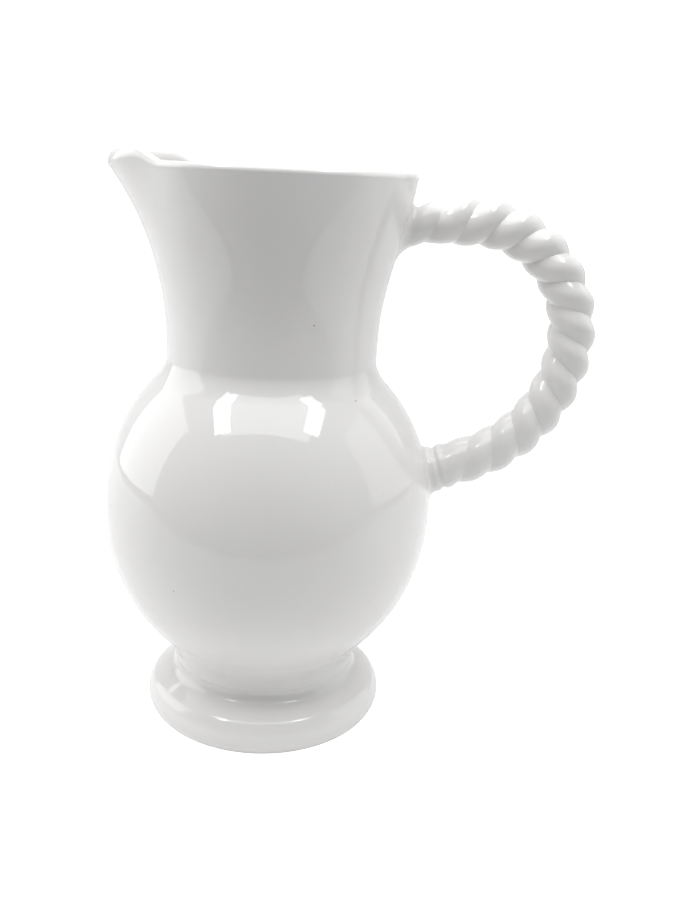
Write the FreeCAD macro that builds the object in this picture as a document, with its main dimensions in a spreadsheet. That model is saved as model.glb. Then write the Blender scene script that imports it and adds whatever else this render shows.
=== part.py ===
import FreeCAD, Part
import math
import os
import Sketcher
from FreeCAD import Vector

# Glazed ceramic pitcher: footed round belly, flared neck with a pulled spout, twisted rope handle.
#
# The pieces are the ones that a potter forms and lutes together with slip: a foot ring, a belly, a
# neck, two twisted handle strands, a boss at each end of the rope, and the slip seams of the body.
# Millimetres, +Z up. The origin is the centre of the foot's resting face. The handle points along +X
# and the spout along -X.

SHEET = "sizes"
UP = Vector(0, 0, 1)

# The driving dimensions: alias, value in millimetres (or degrees), and what it is.
DIMENSIONS = [
    ("rim_height", 240.0, "resting face to the level part of the rim"),
    ("wall", 5.0, "wall thickness of belly and neck"),
    ("equator_height", 98.2, "widest level of the belly"),
    ("belly_radius", 71.2, "belly radius at the equator"),
    ("belly_lower_axis", 78.8, "half height of the belly's lower half-ellipsoid"),
    ("belly_upper_axis", 74.8, "half height of the belly's upper half-ellipsoid"),
    ("shoulder_height", 156.5, "level of the belly-to-neck joint"),
    ("throat_radius", 44.6, "outer radius at the joint and along the throat"),
    ("tongue_inner_radius", 41.6, "inner radius of the tongue under the neck"),
    ("tongue_outer_radius", 43.6, "outer radius of the tongue"),
    ("tongue_depth", 2.5, "how far the tongue drops into the belly's rim"),
    ("throat_height", 170.0, "level where the throat is narrowest"),
    ("flare_height_1", 185.0, "first level of the flare"),
    ("flare_radius_1", 45.8, "outer radius there"),
    ("flare_height_2", 200.0, "second level of the flare"),
    ("flare_radius_2", 48.9, "outer radius there"),
    ("flare_height_3", 215.0, "third level of the flare"),
    ("flare_radius_3", 52.8, "outer radius there"),
    ("flare_height_4", 228.0, "fourth level of the flare"),
    ("flare_radius_4", 55.9, "outer radius there"),
    ("rim_radius", 58.1, "outer radius at the rim"),
    ("blank_height", 250.0, "top of the untrimmed neck"),
    ("blank_radius", 59.8, "outer radius there"),
    ("spout_start", 196.0, "level where the spout begins to swell out of the neck"),
    ("spout_reach", 12.2, "how far the spout stands out of the rim"),
    ("spout_power", 2.5, "how late the swelling comes"),
    ("spout_half_angle", 46.0, "half the angle that the spout takes of the rim"),
    ("lip_rise", 4.5, "height of the spout's lip above the rim"),
    ("lip_ramp_start", 40.0, "distance from the axis where the lip starts to rise"),
    ("lip_ramp_end", 55.0, "distance from the axis where the lip is fully raised"),
    ("lip_round", 2.0, "rounding of the rim's two edges"),
    ("base_radius", 47.2, "outer radius of the resting face"),
    ("base_bore_radius", 39.5, "inner radius of the resting face"),
    ("ring_round", 10.3, "radius of the foot ring's convex side"),
    ("ring_side_radius", 50.52, "where the convex side meets the ring's tight upper edge"),
    ("ring_side_height", 15.54, "level of that place"),
    ("ring_edge_round", 4.5, "radius of the tight upper edge"),
    ("ring_top_radius", 48.8, "where the tight edge meets the slope up to the cove"),
    ("ring_top_height", 16.88, "level of that place"),
    ("ring_waist_radius", 43.14, "where the slope turns into the cove"),
    ("ring_waist_height", 19.66, "level of that turn"),
    ("cove_round", 5.3, "radius of the cove"),
    ("stem_radius", 40.0, "radius of the short stem below the belly"),
    ("cove_top", 24.5, "level where the cove meets the stem"),
    ("stem_top", 33.5, "level above the belly's seat on the stem"),
    ("seat_bore_radius", 32.0, "inner radius of the foot at the belly's seat"),
    ("slip_edge", 0.15, "thickness at which slip is wiped off"),
    ("seam_backing", 5.3, "depth of an untrimmed seam behind its upper edge"),
    ("neck_seam_rise", 4.2, "height of the slip seam above the belly-to-neck joint"),
    ("neck_seam_foot_radius", 48.75, "outer radius of that seam, on the belly"),
    ("neck_seam_foot_height", 152.9, "level of that seam's lower edge"),
    ("neck_seam_round", 16.0, "hollow radius of that seam"),
    ("foot_seam_bottom", 29.0, "level of the slip seam's lower edge, on the stem"),
    ("foot_seam_top", 37.0, "level of its upper edge, on the belly"),
    ("foot_seam_radius", 45.0, "outer radius of its upper edge"),
    ("foot_seam_round", 18.0, "hollow radius of that seam"),
    ("rope_crest", 10.1, "rope half thickness across the strands"),
    ("rope_groove", 7.9, "rope half thickness between the strands"),
    ("rope_pitch", 24.7, "length of rope for one whole turn of the twist"),
    ("rope_phase", 84.0, "angle of the first groove at the upper root"),
    ("root_x", 42.0, "distance from the axis where the handle's centre line starts"),
    ("crown_x", 81.0, "distance from the axis of the handle's highest point"),
    ("crown_height", 222.0, "height of the centre line there"),
    ("arm_radius", 110.0, "bend radius of the upper arm"),
    ("bend_radius", 44.6, "bend radius of the outer corner"),
    ("return_radius", 60.0, "bend radius of the lower part"),
    ("return_angle", 70.0, "angle that the lower part turns through"),
    ("tail_length", 21.0, "straight end of the centre line, into the belly wall"),
    ("boss_radius", 10.3, "radius of a root boss where the rope starts"),
    ("boss_depth", 9.0, "how far the untrimmed boss reaches back from its widest circle"),
    ("boss_round", 7.0, "hollow radius of a boss's flare"),
    ("rope_start", 19.5, "distance along the centre line from its start to the first end of the rope"),
    ("rope_end", 10.0, "distance back from the end of the centre line to the last end of the rope"),
    ("upper_boss_spread", 14.0, "radius of the upper boss's widest circle"),
    ("upper_boss_length", 7.5, "length of the upper boss from that circle to the rope"),
    ("lower_boss_spread", 12.8, "radius of the lower boss's widest circle"),
    ("lower_boss_length", 5.0, "length of the lower boss from that circle to the rope"),
]

RING_STATIONS = 72
STATIONS_PER_TURN = 20
LOBE_POINTS = 11
TRIM_CLEARANCE = 10.0

doc = FreeCAD.newDocument("ceramic_pitcher")


def make_sheet():
    """Write the driving dimensions into a spreadsheet, one alias to a row."""
    sheet = doc.addObject("Spreadsheet::Sheet", SHEET)
    for row, (alias, value, meaning) in enumerate(DIMENSIONS, start=1):
        sheet.set(f"A{row}", meaning)
        sheet.set(f"B{row}", str(value))
        sheet.setAlias(f"B{row}", alias)
    doc.recompute()
    return sheet


sheet = make_sheet()


def size(alias):
    """The value of one driving dimension."""
    return float(sheet.get(alias))


def bind(obj, **formulas):
    """Bind properties of an object to the sheet. Words in a formula are aliases."""
    for prop, formula in formulas.items():
        text = formula
        for alias, _value, _meaning in sorted(DIMENSIONS, key=lambda item: -len(item[0])):
            text = replace_word(text, alias, f"{SHEET}.{alias}")
        obj.setExpression(prop.replace("__", "."), text)


def replace_word(text, word, new):
    """Replace a word that stands alone, so that no longer alias containing it is touched."""
    pieces = []
    start = 0
    while True:
        found = text.find(word, start)
        if found < 0:
            pieces.append(text[start:])
            return "".join(pieces)
        end = found + len(word)
        before = text[found - 1] if found else " "
        after = text[end] if end < len(text) else " "
        alone = not (before.isalnum() or before in "_." or after.isalnum() or after == "_")
        pieces.append(text[start:found])
        pieces.append(new if alone else word)
        start = end


def half_ellipsoid(name, upper, grow):
    """Half of the belly's ellipsoid, with its flat side at the equator, grown by a formula."""
    half = doc.addObject("Part::Ellipsoid", name)
    half.Angle1 = 0 if upper else -90
    half.Angle2 = 90 if upper else 0
    axis = "belly_upper_axis" if upper else "belly_lower_axis"
    bind(half, Radius1=axis + grow, Radius2="belly_radius" + grow, Radius3="belly_radius" + grow,
         Placement__Base__z="equator_height")
    return half


def belly_form(name, grow=""):
    """The whole ovoid of the belly, as one solid."""
    form = doc.addObject("Part::MultiFuse", name)
    form.Shapes = [half_ellipsoid(name + "_low", False, grow), half_ellipsoid(name + "_high", True, grow)]
    form.Refine = False
    return form


def cut(name, base, tool):
    """One solid less another."""
    result = doc.addObject("Part::Cut", name)
    result.Base = base
    result.Tool = tool
    return result


def disc(name, radius, bottom, height):
    """An upright cylinder on the axis."""
    cylinder = doc.addObject("Part::Cylinder", name)
    bind(cylinder, Radius=radius, Height=height, Placement__Base__z=bottom)
    return cylinder


def make_belly(outer, tongue):
    """The thrown belly: an ovoid shell, open at the top, its rim grooved for the neck's tongue."""
    hollow = cut("belly_hollow", outer, belly_form("belly_inside", " - wall"))
    mouth = disc("belly_mouth_cut", "belly_radius", "shoulder_height", "rim_height - shoulder_height")
    return cut("belly", cut("belly_open", hollow, mouth), tongue)


def origin_plane(body, role):
    """One of a body's own origin planes."""
    return next(item for item in body.Origin.OriginFeatures if item.Role == role)


def revolved_outline(name, corners, arcs):
    """A body turned about Z from an outline.

    corners are (radius formula, height formula) pairs. arcs gives, for the side that starts at a
    corner's number, its radius formula and whether it bulges away from the axis.
    """
    body = doc.addObject("PartDesign::Body", name + "_body")
    sketch = body.newObject("Sketcher::SketchObject", name + "_outline")
    sketch.AttachmentSupport = (origin_plane(body, "XZ_Plane"), [""])
    sketch.MapMode = "FlatFace"
    points = [Vector(formula_value(across), formula_value(high), 0) for across, high in corners]
    for index, start in enumerate(points):
        end = points[(index + 1) % len(points)]
        if index in arcs:
            radius_formula, bulging = arcs[index]
            sketch.addGeometry(side_arc(start, end, formula_value(radius_formula), bulging), False)
        else:
            sketch.addGeometry(Part.LineSegment(start, end), False)
    for index in range(len(points)):
        reversed_arc = index in arcs and not arcs[index][1]
        following = (index + 1) % len(points)
        next_reversed = following in arcs and not arcs[following][1]
        sketch.addConstraint(Sketcher.Constraint("Coincident", index, 1 if reversed_arc else 2,
                                                 following, 2 if next_reversed else 1))
    for index, (across, high) in enumerate(corners):
        start_point = 2 if index in arcs and not arcs[index][1] else 1
        place_vertex(sketch, index, start_point, "DistanceX", across, points[index].x)
        place_vertex(sketch, index, start_point, "DistanceY", high, points[index].y)
    for index, (radius_formula, _bulging) in arcs.items():
        number = sketch.addConstraint(Sketcher.Constraint("Radius", index, formula_value(radius_formula)))
        bind(sketch, **{f"Constraints[{number}]": radius_formula})
    turned = body.newObject("PartDesign::Revolution", name + "_turned")
    turned.Profile = sketch
    turned.ReferenceAxis = (sketch, ["V_Axis"])
    turned.Angle = 360
    body.Tip = turned
    return body


def place_vertex(sketch, side, point, kind, formula, value):
    """Hold one coordinate of an outline's corner to its formula."""
    number = sketch.addConstraint(Sketcher.Constraint(kind, -1, 1, side, point, value))
    if value:
        bind(sketch, **{f"Constraints[{number}]": formula})


def formula_value(formula):
    """The value of a sum or difference of dimensions, such as 'rim_height - wall'."""
    total = 0.0
    sign = 1.0
    for word in formula.split():
        if word == "+":
            sign = 1.0
        elif word == "-":
            sign = -1.0
        else:
            total += sign * (float(word) if word[0].isdigit() else size(word))
    return total


def side_arc(start, end, radius, bulging):
    """The short arc from start to end. A bulging arc curves away from the axis as it rises."""
    chord = end - start
    half = chord.Length / 2
    across = Vector(-chord.y, chord.x, 0).normalize()
    middle = (start + end) * 0.5
    offset = across * math.sqrt(radius * radius - half * half)
    centre = middle + offset if bulging else middle - offset
    first = math.atan2(start.y - centre.y, start.x - centre.x)
    last = math.atan2(end.y - centre.y, end.x - centre.x)
    circle = Part.Circle(centre, Vector(0, 0, 1), radius)
    return Part.ArcOfCircle(circle, first, last) if bulging else Part.ArcOfCircle(circle, last, first)


def make_foot(belly_outer):
    """The foot ring: a rounded ring, a cove and a short stem that is hollowed to seat the belly."""
    corners = [("base_bore_radius", "0"), ("base_radius", "0"), ("ring_side_radius", "ring_side_height"),
               ("ring_top_radius", "ring_top_height"), ("ring_waist_radius", "ring_waist_height"),
               ("stem_radius", "cove_top"), ("stem_radius", "stem_top"), ("seat_bore_radius", "stem_top"),
               ("seat_bore_radius", "cove_top")]
    body = revolved_outline("foot", corners, {1: ("ring_round", True), 2: ("ring_edge_round", True),
                                              4: ("cove_round", False)})
    return cut("foot", body, belly_outer)


def neck_levels():
    """The (height, outer radius) pairs that shape the neck."""
    levels = [("shoulder_height", "throat_radius"), ("throat_height", "throat_radius")]
    levels += [(f"flare_height_{step}", f"flare_radius_{step}") for step in (1, 2, 3, 4)]
    levels += [("rim_height", "rim_radius"), ("blank_height", "blank_radius")]
    return [(size(height), size(radius)) for height, radius in levels]


def spout_swell(height):
    """How far the spout stands out of the neck at one level."""
    climb = (height - size("spout_start")) / (size("rim_height") - size("spout_start"))
    return size("spout_reach") * min(max(climb, 0.0), 1.0) ** size("spout_power")


def neck_ring(name, height, radius):
    """One level outline of the neck: a circle, drawn out towards -X where the spout is."""
    points = []
    for station in range(RING_STATIONS):
        angle = 2 * math.pi * station / RING_STATIONS
        from_spout = abs(math.degrees(angle) - 180.0) / size("spout_half_angle")
        share = 0.5 + 0.5 * math.cos(math.pi * min(from_spout, 1.0))
        reach = radius + spout_swell(height) * share
        points.append(Vector(reach * math.cos(angle), reach * math.sin(angle), height))
    curve = Part.BSplineCurve()
    curve.interpolate(Points=points, PeriodicFlag=True)
    ring = doc.addObject("Part::Feature", name)
    ring.Shape = Part.Wire([curve.toShape()])
    return ring


def neck_form(name, inset):
    """The neck as a solid loft through its level outlines, set in by a thickness."""
    rings = [neck_ring(f"{name}_ring_{number}", height, radius - inset)
             for number, (height, radius) in enumerate(neck_levels())]
    loft = doc.addObject("Part::Loft", name)
    loft.Sections = rings
    loft.Solid = True
    return loft


def rim_trimmer():
    """Everything above the rim line, which is level except for the ramp up to the spout's lip."""
    rim = size("rim_height")
    lip = rim + size("lip_rise")
    over = size("blank_height") + TRIM_CLEARANCE
    reach = 2 * size("belly_radius")
    ramp_start = Vector(-size("lip_ramp_start"), -reach, rim)
    ramp_end = Vector(-size("lip_ramp_end"), -reach, lip)
    quarter = Vector((ramp_end.x - ramp_start.x) / 2, 0, 0)
    ramp = Part.BezierCurve()
    ramp.setPoles([ramp_start, ramp_start + quarter, ramp_end - quarter, ramp_end])
    corners = [ramp_end, Vector(-reach, -reach, lip), Vector(-reach, -reach, over),
               Vector(reach, -reach, over), Vector(reach, -reach, rim), ramp_start]
    edges = [ramp.toShape()]
    edges += [Part.makeLine(first, second) for first, second in zip(corners, corners[1:])]
    trimmer = doc.addObject("Part::Feature", "rim_trimmer")
    trimmer.Shape = Part.Face(Part.Wire(edges)).extrude(Vector(0, 2 * reach, 0))
    return trimmer


def tongue_ring():
    """The low ring that keys the neck into the belly's rim."""
    corners = [("tongue_inner_radius", "shoulder_height - tongue_depth"),
               ("tongue_outer_radius", "shoulder_height - tongue_depth"),
               ("tongue_outer_radius", "shoulder_height"),
               ("tongue_inner_radius", "shoulder_height")]
    return revolved_outline("tongue", corners, {})


def make_neck(outer, tongue):
    """The thrown neck with its pulled spout, its trimmed and rounded rim, and the tongue under it."""
    wall = cut("neck_wall", outer, neck_form("neck_inside", size("wall")))
    trimmed = cut("neck_trimmed", wall, rim_trimmer())
    rounded = round_rim(trimmed)
    whole = doc.addObject("Part::MultiFuse", "neck")
    whole.Shapes = [rounded, tongue]
    return whole


def round_rim(neck):
    """Round the two edges of the rim."""
    doc.recompute()
    level = size("rim_height") - size("lip_round")
    rim_edges = [number for number, edge in enumerate(neck.Shape.Edges, start=1)
                 if edge.BoundBox.ZMin > level and edge.BoundBox.XLength > size("lip_round")]
    rounded = doc.addObject("Part::Fillet", "neck_rounded")
    rounded.Base = neck
    rounded.Edges = [(number, size("lip_round"), size("lip_round")) for number in rim_edges]
    return rounded


def handle_path():
    """The rope's centre line as (length, point at a distance along it, heading there) in the XZ plane."""
    crown = Vector(size("crown_x"), 0, size("crown_height"))
    arm, bend, back = size("arm_radius"), size("bend_radius"), size("return_radius")
    arm_angle = math.asin((size("crown_x") - size("root_x")) / arm)
    turn = math.radians(size("return_angle"))
    lengths = [arm * arm_angle, bend * math.pi / 2, back * turn, size("tail_length")]
    corner_centre = crown - Vector(0, 0, bend)
    return_centre = corner_centre + Vector(bend - back, 0, 0)

    def place(distance):
        """Point and heading, where the heading is measured from +X towards +Z."""
        if distance < lengths[0]:
            heading = arm_angle - distance / arm
            return crown - Vector(0, 0, arm) + radial(heading + math.pi / 2) * arm, heading
        distance -= lengths[0]
        if distance < lengths[1]:
            heading = -distance / bend
            return corner_centre + radial(heading + math.pi / 2) * bend, heading
        distance -= lengths[1]
        straight = max(distance - lengths[2], 0.0)
        heading = -math.pi / 2 - (distance - straight) / back
        return return_centre + radial(heading + math.pi / 2) * back + radial(heading) * straight, heading

    return sum(lengths), place


def radial(angle):
    """The unit vector in the XZ plane at an angle from +X towards +Z."""
    return Vector(math.cos(angle), 0, math.sin(angle))


def rope_radius(angle):
    """Half thickness of the two-lobed rope section, at an angle from one of its two grooves."""
    crest, groove = size("rope_crest"), size("rope_groove")
    offset = (crest * crest - groove * groove) / (2 * crest)
    lobe = crest - offset
    return offset * abs(math.sin(angle)) + math.sqrt(lobe * lobe - (offset * math.cos(angle)) ** 2)


def strand_sections(first_angle):
    """Closed sections of one strand along the rope: its rounded outside and the flat of its divider."""
    length, place = handle_path()
    start = size("rope_start")
    end = length - size("rope_end")
    stations = round(STATIONS_PER_TURN * (end - start) / size("rope_pitch"))
    sideways = Vector(0, -1, 0)
    sections = []
    for station in range(stations + 1):
        distance = start + (end - start) * station / stations
        point, heading = place(distance)
        outward = radial(heading + math.pi / 2)
        twist = 2 * math.pi * distance / size("rope_pitch")
        groove = math.radians(size("rope_phase")) - twist + first_angle
        outside = []
        for step in range(LOBE_POINTS):
            from_groove = math.pi * step / (LOBE_POINTS - 1)
            spoke = outward * math.cos(groove + from_groove) + sideways * math.sin(groove + from_groove)
            outside.append(point + spoke * rope_radius(from_groove))
        lobe = Part.BSplineCurve()
        lobe.interpolate(outside)
        sections.append(Part.Wire([lobe.toShape(), Part.makeLine(outside[-1], outside[0])]))
    return sections


def make_strand(name, first_angle):
    """One handle strand: the solid that follows its sections round the twist and the bends."""
    strand = doc.addObject("Part::Feature", name)
    strand.Shape = Part.makeLoft(strand_sections(first_angle), True, False)
    return strand


def make_seam(name, low, high, hollow, walls):
    """A ring of slip in the corner between two walls, with a hollow face from low to high."""
    behind = f"{high[0]} - seam_backing"
    corners = [low, high, (behind, high[1]), (behind, low[1])]
    ring = revolved_outline(name, corners, {0: (hollow, False)})
    return cut(name, cut(name + "_cut", ring, walls[0]), walls[1])


def make_boss(name, distance, outwards, wall):
    """A flared boss that lutes an end of the rope to a wall.

    Its flat end meets the rope at a distance along the centre line. outwards is 1 where the rope
    leaves the wall and -1 where it comes back to one.
    """
    corners = [("0", f"0 - {name}_length - boss_depth"), (f"{name}_spread", f"0 - {name}_length - boss_depth"),
               (f"{name}_spread", f"0 - {name}_length"), ("boss_radius", "0"), ("0", "0")]
    body = revolved_outline(name, corners, {2: ("boss_round", False)})
    point, heading = handle_path()[1](distance)
    body.Placement = FreeCAD.Placement(point, FreeCAD.Rotation(UP, radial(heading) * outwards))
    return cut(name, body, wall)


def export(parts):
    """Check every object, then write each sub-part as a STEP file named after its label."""
    doc.recompute()
    for item in doc.Objects:
        if "Invalid" in item.State or "Error" in item.State:
            raise RuntimeError(f"{item.Name} failed: {item.State}")
    for label, item in parts.items():
        item.Label = label
        if item.Shape.isNull() or not item.Shape.isValid() or not item.Shape.Solids:
            raise RuntimeError(f"{label} is not a valid solid")
    os.makedirs("parts", exist_ok=True)
    for label, item in parts.items():
        item.Shape.exportStep(f"parts/{label}.step")
        print(label, len(item.Shape.Solids), "solid", round(item.Shape.Volume), "mm3")


def main():
    """Build the pitcher from the foot up."""
    belly_outer = belly_form("belly_outer")
    neck_outer = neck_form("neck_outer", 0.0)
    tongue = tongue_ring()
    foot = make_foot(belly_outer)
    belly = make_belly(belly_outer, tongue)
    neck = make_neck(neck_outer, tongue)
    walls = (neck_outer, belly_outer)
    strands = [make_strand("strand_a", 0.0), make_strand("strand_b", math.pi)]
    neck_seam = make_seam("neck_seam", ("neck_seam_foot_radius", "neck_seam_foot_height"),
                          ("throat_radius + slip_edge", "shoulder_height + neck_seam_rise"),
                          "neck_seam_round", walls)
    foot_seam = make_seam("foot_seam", ("stem_radius + slip_edge", "foot_seam_bottom"),
                          ("foot_seam_radius", "foot_seam_top"), "foot_seam_round", (foot, belly_outer))
    upper_boss = make_boss("upper_boss", size("rope_start"), 1, neck_outer)
    lower_boss = make_boss("lower_boss", handle_path()[0] - size("rope_end"), -1, belly_outer)
    export({
        "foot_ring": foot,
        "foot_slip_seam": foot_seam,
        "belly": belly,
        "neck_slip_seam": neck_seam,
        "neck_with_spout": neck,
        "handle_strand_a": strands[0],
        "handle_strand_b": strands[1],
        "upper_handle_boss": upper_boss,
        "lower_handle_boss": lower_boss,
    })


main()
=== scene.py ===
import math
import bpy
import numpy as np
from mathutils import Matrix, Vector, noise


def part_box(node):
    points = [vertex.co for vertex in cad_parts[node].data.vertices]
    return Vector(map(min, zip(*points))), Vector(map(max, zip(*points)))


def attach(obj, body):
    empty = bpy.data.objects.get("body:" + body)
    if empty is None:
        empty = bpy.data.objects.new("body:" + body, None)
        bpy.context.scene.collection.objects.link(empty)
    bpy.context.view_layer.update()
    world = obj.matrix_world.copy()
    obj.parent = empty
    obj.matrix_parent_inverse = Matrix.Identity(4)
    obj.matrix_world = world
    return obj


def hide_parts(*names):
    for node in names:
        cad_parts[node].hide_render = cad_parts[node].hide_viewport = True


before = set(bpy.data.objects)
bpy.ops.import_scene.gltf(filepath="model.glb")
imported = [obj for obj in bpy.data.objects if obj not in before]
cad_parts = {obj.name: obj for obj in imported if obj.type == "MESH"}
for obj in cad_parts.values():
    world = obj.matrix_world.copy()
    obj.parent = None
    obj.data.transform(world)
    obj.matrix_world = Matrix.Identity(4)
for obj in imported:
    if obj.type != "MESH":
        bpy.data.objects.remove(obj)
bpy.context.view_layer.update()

# A white glazed pitcher: foot ring, belly, neck with a pulled spout, and a twisted two-strand handle.
# The pitcher is drawn in millimetres, +Z up, handle at +X and spout at -X, and its meshes are made in
# metres. The studio and the camera are in metres.
MM = 0.001


def box(cad_node):
    """The lowest and highest corner of a CAD node, in millimetres."""
    low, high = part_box(cad_node)
    return np.array(low) / MM, np.array(high) / MM


# ---- the belly -----------------------------------------------------------------------------------
BELLY_LOW, BELLY_HIGH = box("belly")
BELLY_RADIUS = BELLY_HIGH[1]
BELLY_BOTTOM = BELLY_LOW[2]
SHOULDER = BELLY_HIGH[2]
BELLY_LOWER_AXIS = 78.8
BELLY_UPPER_AXIS = 74.8
EQUATOR = BELLY_BOTTOM + BELLY_LOWER_AXIS
WALL = 5.0
# How far the rows of the belly stop short of its lowest point, where a cap closes them.
POLE_GAP = 0.02

# ---- the foot, from the resting face up its outside ------------------------------------------------
FOOT_RADIUS = box("foot_ring")[1][1]
TOE_LEVEL = 0.5
TOE_REACH = 1.3
TOE_BLEND = 0.5
RING_ROUND = 10.3
RING_LEVEL = 9.2
# Angles above the horizontal, of the ring's side where it ends and of the direction its slope faces.
SIDE_END = math.radians(38.0)
SLOPE_FACING = math.radians(66.0)
SLOPE_BLEND = 2.0
EDGE_ROUND = 4.5
COVE_ROUND = 5.3
COVE_CENTRE = (45.3, 24.5)
BEAD_DEPTH = 0.55
BEAD_RISE = 1.3
# Levels between which the stem turns softly into the belly, and how far the curve holds its ends.
FOOT_BLEND = (27.6, 40.5)
FOOT_BLEND_REACH = 5.0
# Levels of the slip seam's two edges, and its hidden corners measured from the upper and lower edge.
FOOT_SEAM = (29.4, 37.0)
FOOT_SEAM_BACK = ((-1.2, -0.4), (-0.8, 1.5))

# ---- the foot's inside -----------------------------------------------------------------------------
SEAT_RIM = 32.95
SEAT_FOOT = 27.8
SEAT_GAP = 0.03
SEAT_BORE = 32.0
SEAT_BORE_TOP = 27.2
SEAT_LEVEL = 24.5
BASE_BORE = 39.5
BASE_EDGE = 0.6
# The rounded inner edge of the resting face, as radius beyond the bore and height.
BASE_EDGE_ROUND = ((0.1, 0.25), (0.35, 0.06), (0.7, 0.0))

# ---- the neck and its spout ------------------------------------------------------------------------
LIP_RISE = 4.5
RIM = box("neck_with_spout")[1][2] - LIP_RISE
# Levels above the shoulder and the neck's outer radius there.
NECK_LEVELS = [(-1.0, 44.6), (13.5, 44.6), (28.5, 45.8), (43.5, 48.9), (58.5, 52.8), (71.5, 55.9),
               (83.5, 58.0), (93.5, 59.6)]
NECK_SEAM = (SHOULDER - 4.6, SHOULDER + 5.2)
NECK_SEAM_REACH = 3.0
NECK_SEAM_BACK = ((-1.2, 0.0), (-1.6, 0.0))
SPOUT_START = RIM - 44.0
SPOUT_REACH = 12.0
SPOUT_POWER = 2.5
SPOUT_HALF_ANGLE = math.radians(46.0)
# Distances from the axis between which the rim climbs to the lip.
RAMP_START = 40.0
RAMP_END = 53.0
# The rolled rim's outer and inner quarter, each as the plain rim's size and what the spout adds.
ROLL_OUT = (2.3, 3.5)
ROLL_UP = (2.3, 4.6)
ROLL_IN = (2.7, 1.1)
ROLL_DOWN = (2.8, 3.0)
# Shares of the way down the neck's inside: where the rim's thickness ends and where the ledge begins.
RIM_FADE_END = 1 / 3
LEDGE_START = 0.8

# ---- the handle ------------------------------------------------------------------------------------
ROOT_X = 42.0
CROWN = (81.0, 222.0)
ARM_RADIUS = 110.0
BEND_RADIUS = 44.6
RETURN_RADIUS = 60.0
RETURN_ANGLE = math.radians(70.0)
TAIL = 21.0
ROPE_CREST = 10.05
ROPE_GROOVE = 7.75
ROPE_PITCH = 24.7
ROPE_PHASE = math.radians(84.0)
ROPE_START = 19.5
ROPE_END = 10.0
# The grooves at each end of the rope, as where they are gone and the length over which they grow:
# first to a part of their depth, then to all of it.
GROOVE_FADE = ((10.0, 6.0), (9.0, 5.0))
DEEPENING = ((20.0, 30.0), (15.0, 50.0))
SHALLOW_DEPTH = 0.62
INNER_FADE = 0.4
INNER_FADE_POWER = 1.5
GROOVE_FILL = 0.02
ROOT_THINNING = 1.7
THINNING_LENGTH = 16.0
COLLAR_DEPTH = 0.9
COLLAR_PLACE = 196.4
COLLAR_WIDTH = 1.1
# The flare at a root: its size, how much wider it is under the upper root, and how near it comes to
# lying flat on the wall.
FILLET = 2.6
UNDER_FILLET = 2.4
FILLET_TURN = 0.99
FLARE_STEPS = 10
# A root's columns run on until they are this deep in the wall, searched for over this length.
ROOT_SINK = 0.8
ROOT_SEARCH = 19.0
ROOT_SEARCH_STEP = 0.05
ROOT_CROWDING = 1.6

# ---- how finely the meshes are divided -------------------------------------------------------------
SPOKES = 288
STRAND_ROWS = 330
STRAND_COLUMNS = 56
DIVIDER_COLUMNS = 8
BOSS_ROWS = 64
BOSS_COLUMNS = 240

# ---- unevenness of the wall, as a share of the radius ----------------------------------------------
WAVE_DEPTH = 0.0022
WAVES_PER_MM = 0.03

# ---- the glaze -------------------------------------------------------------------------------------
# The span that most of a noise texture's values lie in.
NOISE_SPAN = (0.3, 0.7)
GLAZE_COLOURS = ((0.772, 0.765, 0.757, 1), (0.795, 0.790, 0.785, 1))
GLAZE_ROUGHNESS = (0.03, 0.05)
CLOUD_SCALE = 22.0
PINHOLE_COLOUR = (0.20, 0.18, 0.16, 1)
PINHOLE_SCALE = 62.0
PINHOLE_EDGE = (0.012, 0.024)
DIMPLE_SCALE = 260.0
# Bare clay at the resting edge, darker than the clay itself: the extra darkness is a painted contact shadow
# under the foot.
CLAY_AND_CONTACT_SHADOW_COLOURS = ((0.30, 0.27, 0.23, 1), (0.42, 0.39, 0.34, 1))
CLAY_GRAIN_SCALE = 900.0
CLAY_ROUGHNESS = 0.75
# Heights in metres between which the glaze ends, and the waviness of that edge.
GLAZE_EDGE = (0.0003, 0.0007)
GLAZE_EDGE_WAVE = 0.0004
GLAZE_EDGE_SCALE = 160.0

# ---- the studio, in metres -------------------------------------------------------------------------
TENT_GLOW = 0.23
SEEN_TENT_GLOW = 0.60
FLOOR_COLOUR = (0.82, 0.82, 0.82, 1)
FLOOR_FRONT_COLOUR = (0.42, 0.42, 0.42, 1)
HEM_COLOUR = (0.01, 0.01, 0.01, 1)
FLOOR_GLOW = 0.14
BACKDROP_GLOW = 0.20
SEEN_FLOOR_GLOW = 0.90
# Places along Y: the floor's front edge with its dark hem, where the floor has its full colour, and
# where its glow turns into the backdrop's.
FLOOR_EDGE = -0.32
HEM_END = (FLOOR_EDGE + 0.014, FLOOR_EDGE + 0.020)
FULL_COLOUR_FROM = -0.05
BACKDROP_FADE = (0.2, 0.8)
FLOOR_HALF_WIDTH = 2.2
FLOOR_DEPTH = 0.9
SWEEP_RADIUS = 0.6
BACKDROP_HEIGHT = 2.2
EXPOSURE = 0.28
# The lamps: name, place, target, width and height, watts, and the direction that their height takes.
PITCHER = (0.0, 0.0, 0.13)
SHOULDER_FRONT = (0.0, -0.05, 0.147)
BACKWARDS = (0.0, 1.0, 0.0)
SLANT = (0.0, 0.935, 0.354)
LAMPS = [
    ("overhead", (0.0, -0.10, 1.10), (0.0, -0.05, 0.15), (1.2, 1.2), 8.6, BACKWARDS),
    ("left_side", (-1.2, 0.25, 0.55), PITCHER, (1.0, 1.2), 6.0, BACKWARDS),
    ("right_side", (1.2, 0.25, 0.55), PITCHER, (1.0, 1.2), 2.8, BACKWARDS),
    ("left_strip", (-0.437, -0.32, 0.89), SHOULDER_FRONT, (0.17, 0.36), 1.0, SLANT),
    ("right_strip", (0.453, -0.26, 0.91), SHOULDER_FRONT, (0.17, 0.36), 1.0, SLANT),
]

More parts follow.
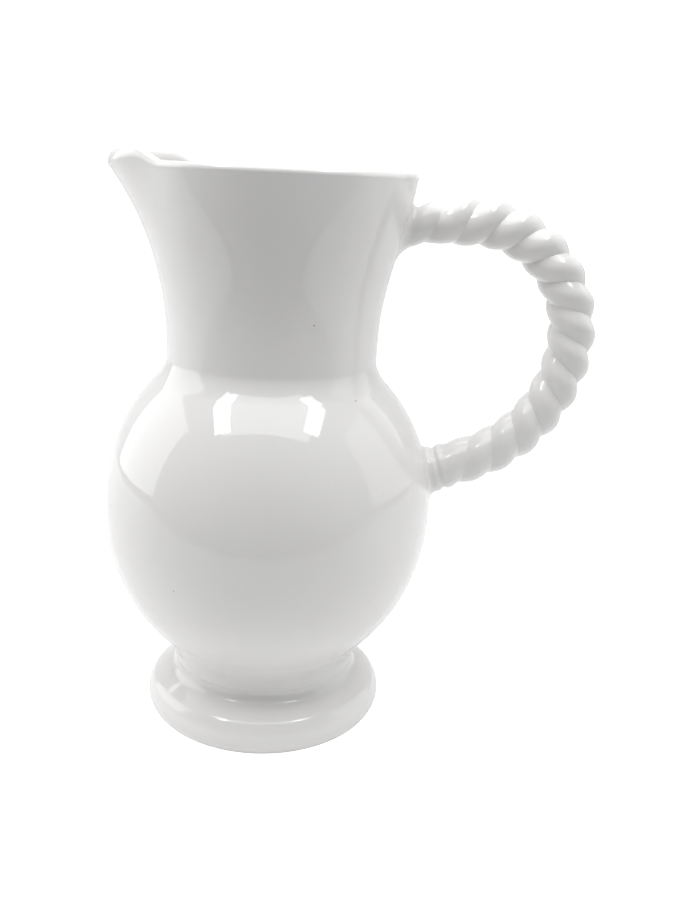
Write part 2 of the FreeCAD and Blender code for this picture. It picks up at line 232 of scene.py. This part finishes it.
# ---- the camera, in metres and radians, its sensor in millimetres ----------------------------------
CAMERA_PLACE = (0.0364, -0.4164, 0.2384)
CAMERA_YAW = -0.0035
CAMERA_PITCH = 0.2717
CAMERA_ROLL = 0.0487
CAMERA_LENS = 39.6
CAMERA_SENSOR = 36.0


# ---- small maths -----------------------------------------------------------------------------------
def smooth(share):
    """0 to 1 with soft ends."""
    share = np.clip(share, 0.0, 1.0)
    return share * share * (3 - 2 * share)


def unit(vectors):
    """Vectors made one long."""
    return vectors / np.maximum(np.linalg.norm(vectors, axis=-1, keepdims=True), 1e-12)


def spline(knots):
    """A natural cubic spline through (place, value) pairs, as a function of arrays."""
    x, y = np.array(knots, float).T
    gap = np.diff(x)
    system, right = np.eye(len(x)), np.zeros(len(x))
    for i in range(1, len(x) - 1):
        system[i, i - 1:i + 2] = gap[i - 1], 2 * (gap[i - 1] + gap[i]), gap[i]
        right[i] = 6 * ((y[i + 1] - y[i]) / gap[i] - (y[i] - y[i - 1]) / gap[i - 1])
    bend = np.linalg.solve(system, right)

    def at(place):
        i = np.clip(np.searchsorted(x, place) - 1, 0, len(gap) - 1)
        before, after = (x[i + 1] - place) / gap[i], (place - x[i]) / gap[i]
        curved = ((before ** 3 - before) * bend[i] + (after ** 3 - after) * bend[i + 1]) * gap[i] ** 2 / 6
        return before * y[i] + after * y[i + 1] + curved

    return at


def arc(centre, radius, first, last, count):
    """Points on a circle in the (radius, height) plane, between two angles."""
    angles = np.linspace(first, last, count)
    return np.stack([centre[0] + radius * np.cos(angles), centre[1] + radius * np.sin(angles)], 1)


def blend_curve(start, start_way, end, end_way, reach, count):
    """A Bezier curve that leaves and arrives along two directions."""
    t = np.linspace(0, 1, count)[:, None]
    poles = [start, start + start_way * reach, end - end_way * reach, end]
    weights = [(1 - t) ** 3, 3 * t * (1 - t) ** 2, 3 * t * t * (1 - t), t ** 3]
    return sum(weight * pole for weight, pole in zip(weights, poles))


# ---- meshes ----------------------------------------------------------------------------------------
def grid_normals(points, closed_rows):
    """Normals of a grid of points whose columns run round in a circle."""
    if closed_rows:
        along = np.roll(points, -1, 0) - np.roll(points, 1, 0)
    else:
        along = np.gradient(points, axis=0)
    around = np.roll(points, -1, 1) - np.roll(points, 1, 1)
    return unit(np.cross(around, along))


def grid_quads(index, closed_rows):
    """The faces between the rows and columns of a grid of vertex numbers."""
    below = index if closed_rows else index[:-1]
    above = np.roll(index, -1, 0) if closed_rows else index[1:]
    return np.stack([below, np.roll(below, -1, 1), np.roll(above, -1, 1), above], -1).reshape(-1, 4)


def faces_inwards(points, quads):
    """Whether the faces of a closed grid look into it, from the sign of its volume."""
    corners = (points - points.mean(0))[quads]
    volume = (corners[:, 0] * np.cross(corners[:, 1], corners[:, 2])).sum()
    volume += (corners[:, 0] * np.cross(corners[:, 2], corners[:, 3])).sum()
    return volume < 0


def make_piece(name, cad_node, points, normals, closed_rows=False):
    """A closed, smoothly shaded mesh from a grid of points. Open rows get a cap at each end."""
    rows, columns = points.shape[:2]
    index = np.arange(rows * columns).reshape(rows, columns)
    quads = grid_quads(index, closed_rows)
    faces = quads.tolist()
    places = points.reshape(-1, 3)
    custom = normals.reshape(-1, 3)
    inwards = faces_inwards(places, quads)
    if not closed_rows:
        for row, turn in ((0, -1), (rows - 1, 1)):
            centre = len(places)
            places = np.vstack([places, points[row].mean(0)])
            custom = np.vstack([custom, np.zeros(3)])
            rim = index[row].tolist()
            faces += [[centre, *pair[::turn]] for pair in zip(rim, rim[1:] + rim[:1])]
    if inwards:
        faces = [face[::-1] for face in faces]
    mesh = bpy.data.meshes.new(name)
    mesh.from_pydata((places * MM).tolist(), [], faces)
    mesh.polygons.foreach_set("use_smooth", np.ones(len(faces), bool))
    facing = np.zeros(len(places) * 3, np.float32)
    mesh.vertex_normals.foreach_get("vector", facing)
    if (facing.reshape(-1, 3) * custom).sum() < 0:
        custom = -custom
    mesh.normals_split_custom_set_from_vertices(custom.tolist())
    mesh.update()
    piece = bpy.data.objects.new(name, mesh)
    bpy.context.scene.collection.objects.link(piece)
    piece.data.materials.append(glaze)
    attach(piece, "root")
    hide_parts(cad_node)


# ---- the body's outline ----------------------------------------------------------------------------
def belly_axis(above, inset=0.0):
    """Half height of the belly's ellipsoid, above or below the equator."""
    return (BELLY_UPPER_AXIS if above else BELLY_LOWER_AXIS) - inset


def belly_point(height, inset=0.0):
    """Radius and height on the belly's outline, or on one set in from it."""
    share = 1 - ((height - EQUATOR) / belly_axis(height >= EQUATOR, inset)) ** 2
    return np.array([(BELLY_RADIUS - inset) * math.sqrt(max(share, 0.0)), height])


def belly_way(height):
    """Direction of the belly's outline, upwards."""
    step = 0.01
    return unit(belly_point(height + step) - belly_point(height - step))


def belly_turn(height, inset):
    """How far round its ellipse a level of the belly lies, from the equator."""
    return math.asin(np.clip((height - EQUATOR) / belly_axis(height >= EQUATOR, inset), -1, 1))


def belly_run(start, end, count, inset=0.0):
    """Points along the belly's outline, evenly turned round its ellipses."""
    sweep = np.linspace(belly_turn(start, inset), belly_turn(end, inset), count)
    levels = [EQUATOR + math.sin(angle) * belly_axis(angle >= 0, inset) for angle in sweep]
    return np.array([belly_point(level, inset) for level in levels])


def foot_outline():
    """From the resting face round the ring, over its tight edge, up the slope, the cove and the stem."""
    ring_centre = np.array([FOOT_RADIUS - RING_ROUND, RING_LEVEL])
    toe = math.asin((TOE_LEVEL - RING_LEVEL) / RING_ROUND)
    side = arc(ring_centre, RING_ROUND, toe, SIDE_END, 32)
    edge = blend_curve(np.array([side[0][0] - TOE_REACH, 0.0]), np.array([1.0, 0.0]), side[0],
                       unit(side[1] - side[0]), TOE_BLEND, 8)
    to_side_end = np.array([math.cos(SIDE_END), math.sin(SIDE_END)])
    corner = arc(ring_centre + (RING_ROUND - EDGE_ROUND) * to_side_end, EDGE_ROUND, SIDE_END,
                 SLOPE_FACING, 16)
    cove = arc(COVE_CENTRE, COVE_ROUND, SLOPE_FACING - math.pi, -math.pi, 24)
    slope = blend_curve(corner[-1], unit(corner[-1] - corner[-2]), cove[0], unit(cove[1] - cove[0]),
                        SLOPE_BLEND, 12)
    levels = np.linspace(COVE_CENTRE[1], FOOT_BLEND[0], 16)
    stem = COVE_CENTRE[0] - COVE_ROUND + BEAD_DEPTH * smooth((levels - levels[0]) / BEAD_RISE)
    return [edge, side, corner, slope, cove, np.stack([stem, levels], 1)]


def body_outline():
    """The outside from the resting face to the neck, and the rows that each piece shows of it."""
    upright = np.array([0.0, 1.0])
    foot = foot_outline()
    low, high = FOOT_BLEND[1], NECK_SEAM[0]
    fillet = blend_curve(foot[-1][-1], upright, belly_point(low), belly_way(low), FOOT_BLEND_REACH, 44)
    first, last = np.searchsorted(fillet[:, 1], FOOT_SEAM)
    foot.append(fillet[:first + 1])
    foot_seam = fillet[first:last + 1]
    belly = np.concatenate([fillet[last:], belly_run(low, high, 140)[1:]])
    neck_foot = np.array([float(neck_radius(NECK_SEAM[1])), NECK_SEAM[1]])
    neck_seam = blend_curve(belly[-1], belly_way(high), neck_foot, upright, NECK_SEAM_REACH, 18)
    points, spans = [], {}
    for name, runs in (("foot", foot), ("foot_seam", [foot_seam]), ("belly", [belly]),
                       ("neck_seam", [neck_seam])):
        start = max(len(points) - 1, 0)
        for run in runs:
            points.extend(run[1 if points else 0:])
        spans[name] = slice(start, len(points))
    return np.array(points), spans


# ---- the neck and its spout, as rows of points all round --------------------------------------------
ANGLES = np.arange(SPOKES) * 2 * math.pi / SPOKES
SPOUT_SHARE = 0.5 + 0.5 * np.cos(math.pi * np.clip(np.abs(ANGLES - math.pi) / SPOUT_HALF_ANGLE, 0, 1))

neck_radius = spline([(SHOULDER + level, radius) for level, radius in NECK_LEVELS])
# How much thicker than the neck's wall its inside must become to meet the belly's inside.
THROAT_LEDGE = float(neck_radius(SHOULDER)) - WALL - belly_point(SHOULDER, WALL)[0]


def outer_radius(height):
    """The neck's outer radius at one height for each spoke."""
    climb = np.clip((height - SPOUT_START) / (RIM - SPOUT_START), 0, 1)
    return neck_radius(height) + SPOUT_REACH * climb ** SPOUT_POWER * SPOUT_SHARE


def ring(radius, height):
    """One row of the body's grid: a point on each spoke."""
    radius, height = np.broadcast_to(radius, SPOKES), np.broadcast_to(height, SPOKES)
    return np.stack([radius * np.cos(ANGLES), radius * np.sin(ANGLES), height], 1)


def turned(outline):
    """Rows of a grid from (radius, height) pairs."""
    return np.array([ring(radius, height) for radius, height in outline])


def rim_line():
    """Height of the rim's top: level, with a ramp up to the spout's lip."""
    across = -outer_radius(np.full(SPOKES, RIM)) * np.cos(ANGLES)
    return RIM + LIP_RISE * smooth((across - RAMP_START) / (RAMP_END - RAMP_START))


def neck_rows(bottom):
    """Rows up the outside of the neck, over the rolled rim, and down the inside."""
    top = rim_line()
    roll_out, roll_up, roll_in, roll_down = [plain + extra * SPOUT_SHARE for plain, extra
                                             in (ROLL_OUT, ROLL_UP, ROLL_IN, ROLL_DOWN)]
    rows = []
    for share in np.linspace(0, 1, 120)[1:]:
        height = bottom + (top - roll_up - bottom) * share
        rows.append(ring(outer_radius(height), height))
    edge = outer_radius(top - roll_up)
    for turn in np.linspace(0, math.pi / 2, 14)[1:]:
        rows.append(ring(edge - roll_out * (1 - math.cos(turn)), top - roll_up * (1 - math.sin(turn))))
    for turn in np.linspace(math.pi / 2, 0, 14)[1:]:
        rows.append(ring(edge - roll_out - roll_in * math.cos(turn), top - roll_down * (1 - math.sin(turn))))
    start = top - roll_down
    thick = outer_radius(start) - (edge - roll_out - roll_in)
    for share in np.linspace(0, 1, 80)[1:]:
        height = start + (SHOULDER - start) * share
        thinning = (thick - WALL) * (1 - smooth(share / RIM_FADE_END))
        ledge = THROAT_LEDGE * smooth((share - LEDGE_START) / (1 - LEDGE_START))
        rows.append(ring(outer_radius(height) - WALL - thinning - ledge, height))
    return np.array(rows)


def hand_made(points):
    """Sinks a surface by up to a sixth of a millimetre in slow waves, as on a wall made by hand."""
    flat = points.reshape(-1, 3)
    depth = np.array([0.5 + 0.5 * noise.noise(Vector(point) * WAVES_PER_MM) for point in flat])
    moved = flat * (1 - WAVE_DEPTH * depth[:, None])
    moved[:, 2] = flat[:, 2]
    return moved.reshape(points.shape)


def hidden_rows(outline):
    """Rows of a grid from (radius, height) pairs that may be none, waved like the outside."""
    return hand_made(turned(outline)) if len(outline) else np.empty((0, SPOKES, 3))


def make_body():
    """Foot, belly, neck and the two slip seams, cut from one continuous outer surface."""
    outline, spans = body_outline()
    whole = hand_made(np.concatenate([turned(outline), neck_rows(NECK_SEAM[1])]))
    normals = grid_normals(whole, False)

    def piece(name, cad_node, before, shown, after, closed_rows=True):
        """A piece that shows rows of the shared surface, closed by hidden rows before and after them."""
        points = np.concatenate([hidden_rows(before), whole[shown], hidden_rows(after)])
        facing = grid_normals(points, closed_rows)
        if closed_rows and (facing[len(before) + 2] * normals[shown][2]).sum() < 0:
            facing = -facing
        facing[len(before):len(before) + len(normals[shown])] = normals[shown]
        make_piece(name, cad_node, points, facing, closed_rows)

    def seam(name, cad_node, back):
        """A slip seam: its shown rows and the two hidden corners behind them."""
        low, high = outline[spans[name]][[0, -1]]
        piece(name, cad_node, [], spans[name], [high + back[0], low + back[1]])

    seat = belly_run(SEAT_RIM, SEAT_FOOT, 20) - np.array([0.0, SEAT_GAP])
    bore = [[SEAT_BORE, level] for level in np.linspace(SEAT_BORE_TOP, SEAT_LEVEL, 6)]
    recess = np.linspace([SEAT_BORE, SEAT_LEVEL], [BASE_BORE, BASE_EDGE], 24)[1:]
    base_edge = [[BASE_BORE + beyond, level] for beyond, level in BASE_EDGE_ROUND]
    piece("foot", "foot_ring", [], spans["foot"], [*seat, *bore, *recess, *base_edge])
    seam("foot_seam", "foot_slip_seam", FOOT_SEAM_BACK)
    under = belly_run(BELLY_BOTTOM + POLE_GAP, FOOT_SEAM[1], 60)[1:-1]
    shoulder = belly_run(NECK_SEAM[0], SHOULDER, 12)[1:]
    inside = belly_run(SHOULDER, BELLY_BOTTOM + WALL + POLE_GAP, 120, WALL)
    piece("belly", "belly", under, spans["belly"], [*shoulder, *inside[:-1]], False)
    seam("neck_seam", "neck_slip_seam", NECK_SEAM_BACK)
    throat = [[float(neck_radius(level)), level] for level in np.linspace(SHOULDER, NECK_SEAM[1], 8)[:-1]]
    piece("neck", "neck_with_spout", throat, slice(spans["neck_seam"].stop - 1, len(whole)), [])


# ---- the handle's surface --------------------------------------------------------------------------
ARM_ANGLE = math.asin((CROWN[0] - ROOT_X) / ARM_RADIUS)
RUNS = np.cumsum([ARM_RADIUS * ARM_ANGLE, BEND_RADIUS * math.pi / 2, RETURN_RADIUS * RETURN_ANGLE, TAIL])
ROPE_LENGTH = RUNS[-1]


def handle_line(distance):
    """Points (x, z) and headings along the rope's centre line: three arcs and a straight end."""
    arm = distance < RUNS[0]
    bend = ~arm & (distance < RUNS[1])
    straight = np.maximum(distance - RUNS[2], 0.0)
    heading = np.where(arm, ARM_ANGLE - distance / ARM_RADIUS, -(distance - RUNS[0]) / BEND_RADIUS)
    back = -math.pi / 2 - (distance - RUNS[1] - straight) / RETURN_RADIUS
    heading = np.where(arm | bend, heading, back)
    radius = np.where(arm, ARM_RADIUS, np.where(bend, BEND_RADIUS, RETURN_RADIUS))
    centre_x = np.where(arm | bend, CROWN[0], CROWN[0] + BEND_RADIUS - RETURN_RADIUS)
    centre_z = np.where(arm, CROWN[1] - ARM_RADIUS, CROWN[1] - BEND_RADIUS)
    x = centre_x - radius * np.sin(heading) + straight * np.cos(heading)
    z = centre_z + radius * np.cos(heading) + straight * np.sin(heading)
    return x, z, heading


def wall_radius(height):
    """The body's outer radius on the handle's side."""
    upper = neck_radius(np.maximum(height, SHOULDER))
    share = 1 - ((height - EQUATOR) / np.where(height < EQUATOR, BELLY_LOWER_AXIS, BELLY_UPPER_AXIS)) ** 2
    return np.where(height > SHOULDER, upper, BELLY_RADIUS * np.sqrt(np.maximum(share, 0.0)))


def wall_gap(points):
    """How far points stand out of the body's wall, measured from the axis."""
    return np.hypot(points[..., 0], points[..., 1]) - wall_radius(points[..., 2])


def twist(distance):
    """Where the first groove stands at a distance along the rope, measured from its outer side."""
    return ROPE_PHASE - 2 * math.pi * distance / ROPE_PITCH


def between_ends(distance, first, last):
    """0 at the rope's ends and 1 between, from a margin and a length of growth at each end."""
    return smooth((distance - first[0]) / first[1]) * smooth((ROPE_LENGTH - last[0] - distance) / last[1])


def groove_depth(distance, inner):
    """The depth of the grooves as a share of the full one. inner is 1 on the handle's inner side."""
    grown = SHALLOW_DEPTH + (1 - SHALLOW_DEPTH) * between_ends(distance, *DEEPENING)
    return between_ends(distance, *GROOVE_FADE) * grown * (1 - INNER_FADE * inner ** INNER_FADE_POWER)


def rope_radius(distance, turn, inner):
    """The rope's radius: two round lobes with filled grooves, thinner at the upper root."""
    crest = ROPE_CREST - ROOT_THINNING * (1 - smooth((distance - ROPE_START) / THINNING_LENGTH))
    groove = crest - (ROPE_CREST - ROPE_GROOVE) * groove_depth(distance, inner)
    offset = (crest ** 2 - groove ** 2) / (2 * crest)
    angle = turn - twist(distance)
    lobe = np.sqrt(np.sin(angle) ** 2 + GROOVE_FILL ** 2) - GROOVE_FILL * (1 - np.abs(np.sin(angle)))
    radius = offset * lobe + np.sqrt((crest - offset) ** 2 - (offset * np.cos(angle)) ** 2)
    return radius - COLLAR_DEPTH * np.exp(-((distance - COLLAR_PLACE) / COLLAR_WIDTH) ** 2)


def rope_surface(distance, turn):
    """Points on the rope. The turn is measured round its centre line, from its outer side."""
    x, z, heading = handle_line(distance)
    inner = 0.5 - 0.5 * np.cos(turn)
    radius = rope_radius(distance, turn, inner)

    def place(reach):
        out = reach * np.cos(turn)
        return np.stack([x - out * np.sin(heading), -reach * np.sin(turn), z + out * np.cos(heading)], -1)

    fillet = np.where(distance < ROPE_LENGTH / 2, FILLET + UNDER_FILLET * inner, FILLET)
    flare = np.zeros_like(radius)
    for _ in range(FLARE_STEPS):
        near = np.clip(1 - wall_gap(place(radius + flare)) / fillet, 0, 1)
        flare = (flare + fillet * (1 - np.sqrt(1 - FILLET_TURN * near ** 2))) / 2
    return place(radius + flare)


def rope_grid(distance, turn):
    """Points on the rope and their normals, from the surface itself."""
    step = 0.02
    along = rope_surface(distance + step, turn) - rope_surface(distance - step, turn)
    around = rope_surface(distance, turn + step / 10) - rope_surface(distance, turn - step / 10)
    return rope_surface(distance, turn), unit(np.cross(along, around))


# ---- the handle's pieces ---------------------------------------------------------------------------
def make_strand(name, cad_node, first_angle):
    """One strand: its rounded outside and the flat face that it turns to the other strand."""
    distance = np.linspace(ROPE_START, ROPE_LENGTH - ROPE_END, STRAND_ROWS)[:, None]
    crowded = 0.5 - 0.5 * np.cos(np.linspace(0, math.pi, STRAND_COLUMNS))
    lobe = first_angle + math.pi * crowded[None, :]
    outside, normals = rope_grid(*np.broadcast_arrays(distance, lobe + twist(distance)))
    across = np.linspace(0, 1, DIVIDER_COLUMNS + 2)[1:-1][None, :, None]
    divider = outside[:, -1:] + (outside[:, :1] - outside[:, -1:]) * across
    middle = outside[:, STRAND_COLUMNS // 2][:, None]
    flat = np.broadcast_to(unit(outside.mean(1, keepdims=True) - middle), divider.shape)
    make_piece(name, cad_node, np.concatenate([outside, divider], 1), np.concatenate([normals, flat], 1))


def make_boss(name, cad_node, start, way):
    """The root of the rope: it goes on from the strands and flares into the body's wall."""
    turn = np.linspace(0, 2 * math.pi, BOSS_COLUMNS + 1)[:-1][None, :]
    steps = round(ROOT_SEARCH / ROOT_SEARCH_STEP) + 1
    trial = start + way * np.linspace(0, ROOT_SEARCH, steps)[:, None]
    sunk = wall_gap(rope_surface(*np.broadcast_arrays(trial, turn))) < -ROOT_SINK
    last = trial[np.where(sunk.any(0), sunk.argmax(0), len(trial) - 1), 0][None, :]
    share = 1 - (1 - np.linspace(0, 1, BOSS_ROWS)[:, None]) ** ROOT_CROWDING
    distance, turn = np.broadcast_arrays(start + (last - start) * share, turn)
    make_piece(name, cad_node, *rope_grid(distance, turn))


def make_handle():
    """Two strands and a root at each end."""
    make_strand("strand_a", "handle_strand_a", 0.0)
    make_strand("strand_b", "handle_strand_b", math.pi)
    make_boss("upper_boss", "upper_handle_boss", ROPE_START, -1)
    make_boss("lower_boss", "lower_handle_boss", ROPE_LENGTH - ROPE_END, 1)


# ---- materials -------------------------------------------------------------------------------------
def add_node(tree, kind, inputs=None, **settings):
    """A node with its settings and input values. A value that is a socket is linked."""
    made = tree.nodes.new(kind)
    for name, value in settings.items():
        setattr(made, name, value)
    for name, value in (inputs or {}).items():
        if isinstance(value, bpy.types.NodeSocket):
            tree.links.new(value, made.inputs[name])
        else:
            made.inputs[name].default_value = value
    return made


def ramp(tree, factor, span, start, end):
    """A value that goes from start to end as the factor goes through a span."""
    return add_node(tree, "ShaderNodeMapRange", {"Value": factor, "From Min": span[0], "From Max": span[1],
                                                 "To Min": start, "To Max": end}).outputs["Result"]


def calculate(tree, operation, first, second):
    """The result of one sum on two values."""
    return add_node(tree, "ShaderNodeMath", {0: first, 1: second}, operation=operation).outputs[0]


def noise_value(tree, place, scale, detail):
    """The value of a noise texture."""
    made = add_node(tree, "ShaderNodeTexNoise", {"Vector": place, "Scale": scale, "Detail": detail})
    return made.outputs["Fac"]


def mix(tree, factor, first, second):
    """Two colours mixed by a factor."""
    mixed = add_node(tree, "ShaderNodeMix", {"Factor": factor}, data_type="RGBA")
    for name, value in (("A", first), ("B", second)):
        socket = [item for item in mixed.inputs if item.name == name and item.type == "RGBA"][0]
        if isinstance(value, bpy.types.NodeSocket):
            tree.links.new(value, socket)
        else:
            socket.default_value = value
    return [item for item in mixed.outputs if item.type == "RGBA"][0]


def seen_or_not(tree, unseen, seen):
    """One value for light that goes to the pitcher and another for what is seen behind it."""
    straight = add_node(tree, "ShaderNodeLightPath").outputs["Is Camera Ray"]
    return ramp(tree, straight, (0.0, 1.0), unseen, seen)


def clay_and_contact_shadow_band(tree, place):
    """1 on the bare clay of the resting edge, which is darkened there as a painted contact shadow, and 0 on
    the glaze above it.
    """
    height = add_node(tree, "ShaderNodeSeparateXYZ", {"Vector": place}).outputs["Z"]
    edge_noise = noise_value(tree, place, GLAZE_EDGE_SCALE, 2.0)
    edge_wave = ramp(tree, edge_noise, NOISE_SPAN, -GLAZE_EDGE_WAVE, GLAZE_EDGE_WAVE)
    return ramp(tree, calculate(tree, "ADD", height, edge_wave), GLAZE_EDGE, 1.0, 0.0)


def glaze_material():
    """White glaze: glossy and faintly uneven, with pinholes, and bare clay where the foot rests, darkened as
    a painted contact shadow.
    """
    material = bpy.data.materials.new("white_glaze")
    material.use_nodes = True
    tree = material.node_tree
    tree.nodes.clear()
    place = add_node(tree, "ShaderNodeTexCoord").outputs["Object"]
    cloud = noise_value(tree, place, CLOUD_SCALE, 3.0)
    glazed = mix(tree, ramp(tree, cloud, NOISE_SPAN, 0.0, 1.0), *GLAZE_COLOURS)
    cells = add_node(tree, "ShaderNodeTexVoronoi", {"Vector": place, "Scale": PINHOLE_SCALE}, feature="F1")
    pinhole = ramp(tree, cells.outputs["Distance"], PINHOLE_EDGE, 1.0, 0.0)
    pinholed = mix(tree, pinhole, glazed, PINHOLE_COLOUR)
    clay_and_shadow_band = clay_and_contact_shadow_band(tree, place)
    # The bare clay's colour, darkened as a painted contact shadow along the resting edge.
    clay_and_shadow_colour = mix(tree, noise_value(tree, place, CLAY_GRAIN_SCALE, 4.0), *CLAY_AND_CONTACT_SHADOW_COLOURS)
    gloss = ramp(tree, cloud, NOISE_SPAN, *GLAZE_ROUGHNESS)
    dents = calculate(tree, "SUBTRACT", noise_value(tree, place, DIMPLE_SCALE, 2.0), pinhole)
    bump = add_node(tree, "ShaderNodeBump", {"Height": dents, "Strength": 0.10, "Distance": 0.0002})
    shader = add_node(tree, "ShaderNodeBsdfPrincipled", {
        "Base Color": mix(tree, clay_and_shadow_band, pinholed, clay_and_shadow_colour),
        "Roughness": ramp(tree, clay_and_shadow_band, (0.0, 1.0), gloss, CLAY_ROUGHNESS),
        "IOR": 1.55,
        "Normal": bump.outputs["Normal"],
    })
    out = add_node(tree, "ShaderNodeOutputMaterial")
    tree.links.new(shader.outputs["BSDF"], out.inputs["Surface"])
    return material


# ---- the studio ------------------------------------------------------------------------------------
def stage_material():
    """Matt white that shines a little, greyer towards the floor's front edge, which has a dark hem."""
    material = bpy.data.materials.new("studio_white")
    material.use_nodes = True
    tree = material.node_tree
    place = add_node(tree, "ShaderNodeTexCoord").outputs["Object"]
    depth = add_node(tree, "ShaderNodeSeparateXYZ", {"Vector": place}).outputs["Y"]
    past_front = ramp(tree, depth, (FLOOR_EDGE, FULL_COLOUR_FROM), 0.0, 1.0)
    past_hem = ramp(tree, depth, HEM_END, 0.0, 1.0)
    colour = mix(tree, past_hem, HEM_COLOUR, mix(tree, past_front, FLOOR_FRONT_COLOUR, FLOOR_COLOUR))
    glow = calculate(tree, "MULTIPLY", ramp(tree, depth, BACKDROP_FADE, FLOOR_GLOW, BACKDROP_GLOW), past_hem)
    shader = tree.nodes["Principled BSDF"]
    shader.inputs["Roughness"].default_value = 0.9
    shader.inputs["Specular IOR Level"].default_value = 0.0
    shader.inputs["Emission Color"].default_value = (1, 1, 1, 1)
    tree.links.new(colour, shader.inputs["Base Color"])
    tree.links.new(seen_or_not(tree, glow, SEEN_FLOOR_GLOW), shader.inputs["Emission Strength"])
    return material


def make_stage():
    """A floor that sweeps up into a backdrop behind the pitcher."""
    line = [(FLOOR_EDGE, 0.0)]
    for turn in np.linspace(0, math.pi / 2, 17):
        line.append((FLOOR_DEPTH + SWEEP_RADIUS * math.sin(turn), SWEEP_RADIUS * (1 - math.cos(turn))))
    line.append((FLOOR_DEPTH + SWEEP_RADIUS, BACKDROP_HEIGHT))
    verts = [(side, y, z) for y, z in line for side in (-FLOOR_HALF_WIDTH, FLOOR_HALF_WIDTH)]
    faces = [(2 * i, 2 * i + 1, 2 * i + 3, 2 * i + 2) for i in range(len(line) - 1)]
    mesh = bpy.data.meshes.new("floor")
    mesh.from_pydata(verts, [], faces)
    mesh.polygons.foreach_set("use_smooth", np.ones(len(faces), bool))
    mesh.materials.append(stage_material())
    floor = bpy.data.objects.new("floor", mesh)
    bpy.context.scene.collection.objects.link(floor)


def soft_light(name, place, target, size, power, height_way):
    """A rectangular lamp that faces a target, its height lying along a direction."""
    lamp = bpy.data.lights.new(name, "AREA")
    lamp.shape = "RECTANGLE"
    lamp.size, lamp.size_y = size
    lamp.energy = power
    made = bpy.data.objects.new(name, lamp)
    made.location = place
    back = (Vector(place) - Vector(target)).normalized()
    across = Vector(height_way).cross(back).normalized()
    made.rotation_euler = Matrix((across, back.cross(across), back)).transposed().to_euler()
    bpy.context.scene.collection.objects.link(made)


def light_studio():
    """A light tent: an even glow, a wide softbox overhead, one at each side, and two strips in front."""
    world = bpy.data.worlds.new("studio")
    world.use_nodes = True
    tree = world.node_tree
    background = tree.nodes["Background"]
    background.inputs["Color"].default_value = (1, 1, 1, 1)
    tree.links.new(seen_or_not(tree, TENT_GLOW, SEEN_TENT_GLOW), background.inputs["Strength"])
    bpy.context.scene.world = world
    for lamp in LAMPS:
        soft_light(*lamp)
    bpy.context.scene.view_settings.view_transform = "Standard"
    bpy.context.scene.view_settings.exposure = EXPOSURE


def make_camera():
    """A viewpoint in front of and above the pitcher, looking down a little and rolled to the right."""
    sin_yaw, cos_yaw = math.sin(CAMERA_YAW), math.cos(CAMERA_YAW)
    sin_roll, cos_roll = math.sin(CAMERA_ROLL), math.cos(CAMERA_ROLL)
    level = math.cos(CAMERA_PITCH)
    ahead = Vector((sin_yaw * level, cos_yaw * level, -math.sin(CAMERA_PITCH)))
    level_right = Vector((cos_yaw, -sin_yaw, 0.0))
    level_up = level_right.cross(ahead)
    right = level_right * cos_roll + level_up * sin_roll
    up = level_up * cos_roll - level_right * sin_roll
    camera = bpy.data.objects.new("camera", bpy.data.cameras.new("camera"))
    camera.data.lens = CAMERA_LENS
    camera.data.sensor_width = CAMERA_SENSOR
    camera.data.clip_start = 0.01
    turn = Matrix((right, up, -ahead)).transposed().to_4x4()
    camera.matrix_world = Matrix.Translation(CAMERA_PLACE) @ turn
    bpy.context.scene.collection.objects.link(camera)
    bpy.context.scene.camera = camera


glaze = glaze_material()
make_body()
make_handle()
make_stage()
light_studio()
make_camera()
